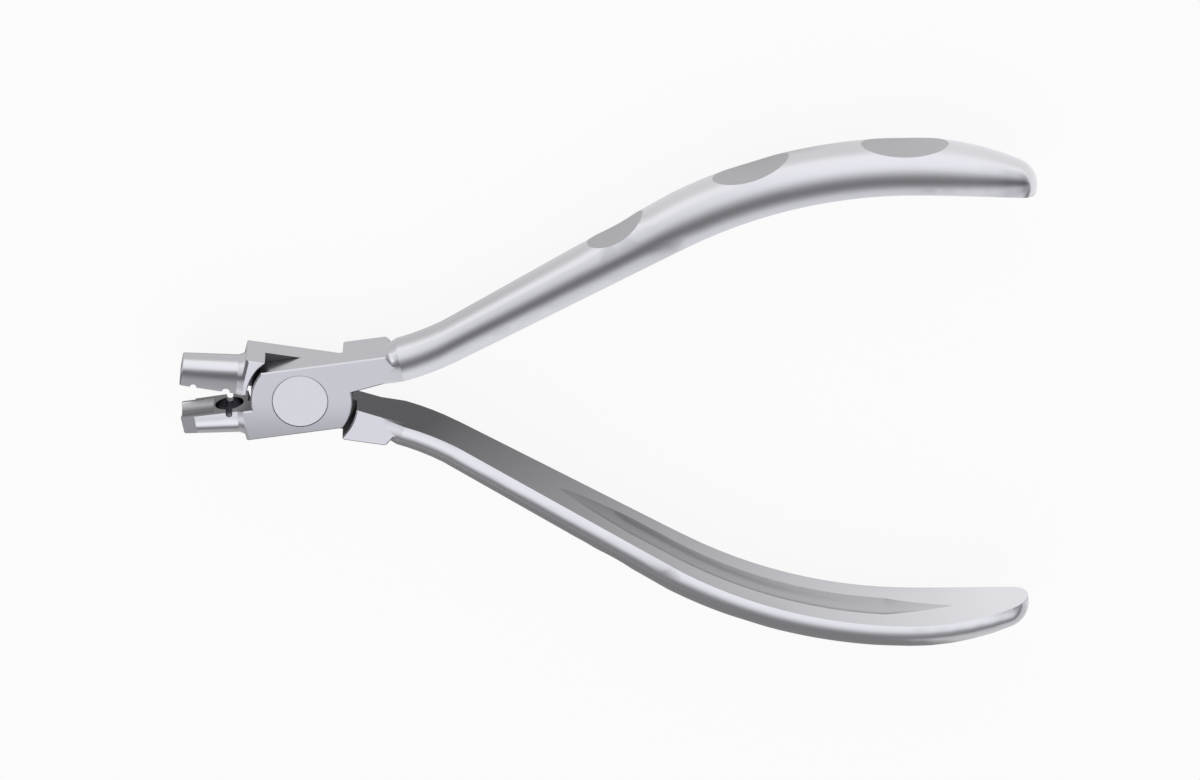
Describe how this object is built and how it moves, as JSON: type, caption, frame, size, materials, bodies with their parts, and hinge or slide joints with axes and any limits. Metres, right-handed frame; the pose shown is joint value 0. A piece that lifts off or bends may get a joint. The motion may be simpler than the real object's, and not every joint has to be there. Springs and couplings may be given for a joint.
{
  "type": "orthodontic pliers",
  "caption": "Hook-crimping orthodontic pliers with half-round beaks, a flush riveted lap joint and bowed, grooved handles.",
  "frame": {"origin": "on the rivet's axis, at the joint's rear face", "axes": "+X from the rivet towards the handle ends, +Y from the rear half's handle towards the front half's, +Z along the rivet towards the front lap plate"},
  "size_m": [0.1292, 0.083, 0.0138],
  "materials": {
    "forged_steel": "satin joint, polished handles and beaks",
    "rivet_steel": "satin, ground flush"
  },
  "bodies": {
    "rear_arm": {"rear_half": "forged_steel", "joint_rivet": "rivet_steel"},
    "front_arm": {"front_half": "forged_steel"}
  },
  "joints": [
    {"name": "jaw_hinge", "type": "hinge", "parent": "rear_arm", "child": "front_arm", "pos_m": [0, 0, 0.0039], "axis": [0, 0, 1], "range_deg": [-17, 75]}
  ]
}
